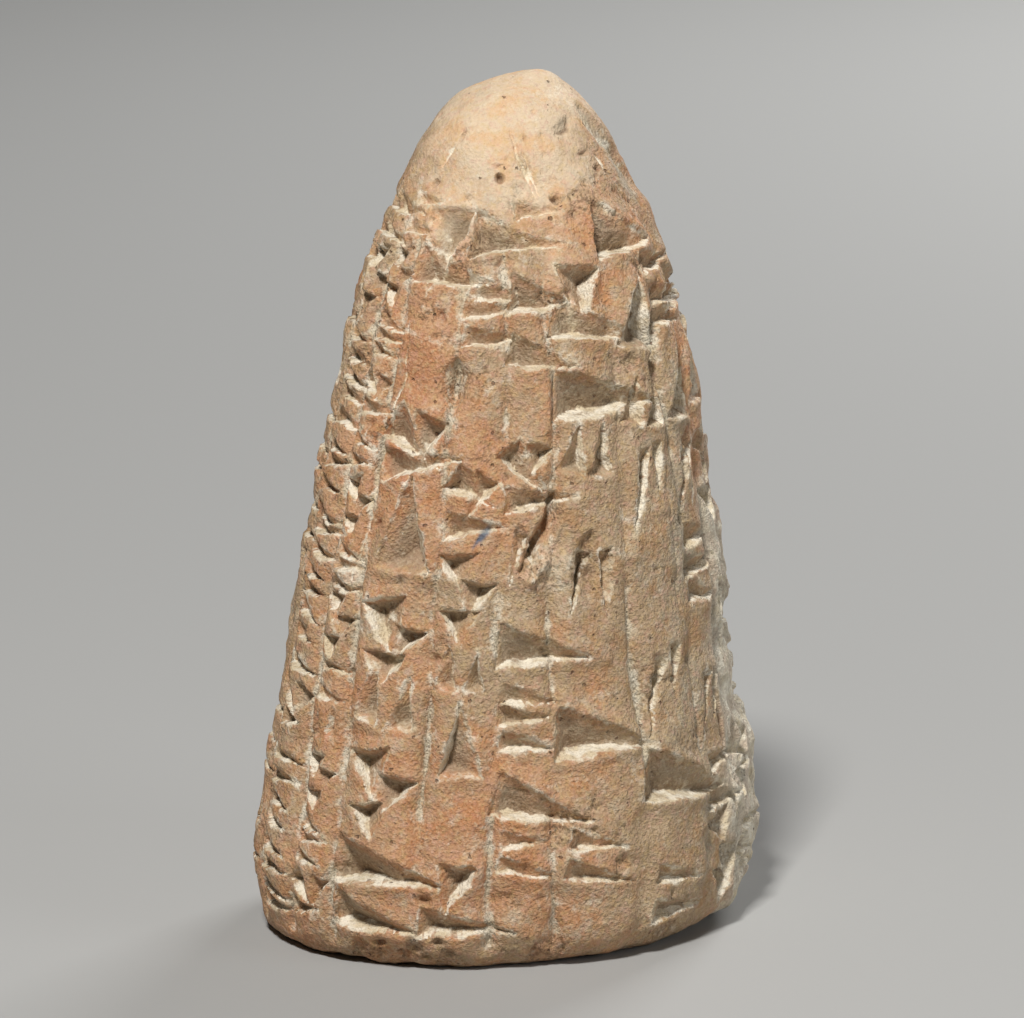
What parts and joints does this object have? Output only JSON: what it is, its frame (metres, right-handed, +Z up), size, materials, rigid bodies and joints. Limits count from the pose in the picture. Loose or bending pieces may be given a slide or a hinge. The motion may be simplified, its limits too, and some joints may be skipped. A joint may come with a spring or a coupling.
{
  "type": "cuneiform foundation cone",
  "caption": "Solid hand-shaped cone of fired clay with a blunt tip and a broad flat base, its side covered with upright lines of pressed wedge strokes.",
  "frame": {"origin": "middle of the flat underside that the cone stands on", "axes": "+Z up along the cone towards its tip, -Y out of the pictured face, +X to that face's right"},
  "size_m": [0.0362, 0.0336, 0.062],
  "materials": {
    "fired_clay": "matte"
  },
  "bodies": {
    "root": {"cone": "fired_clay"}
  },
  "joints": []
}
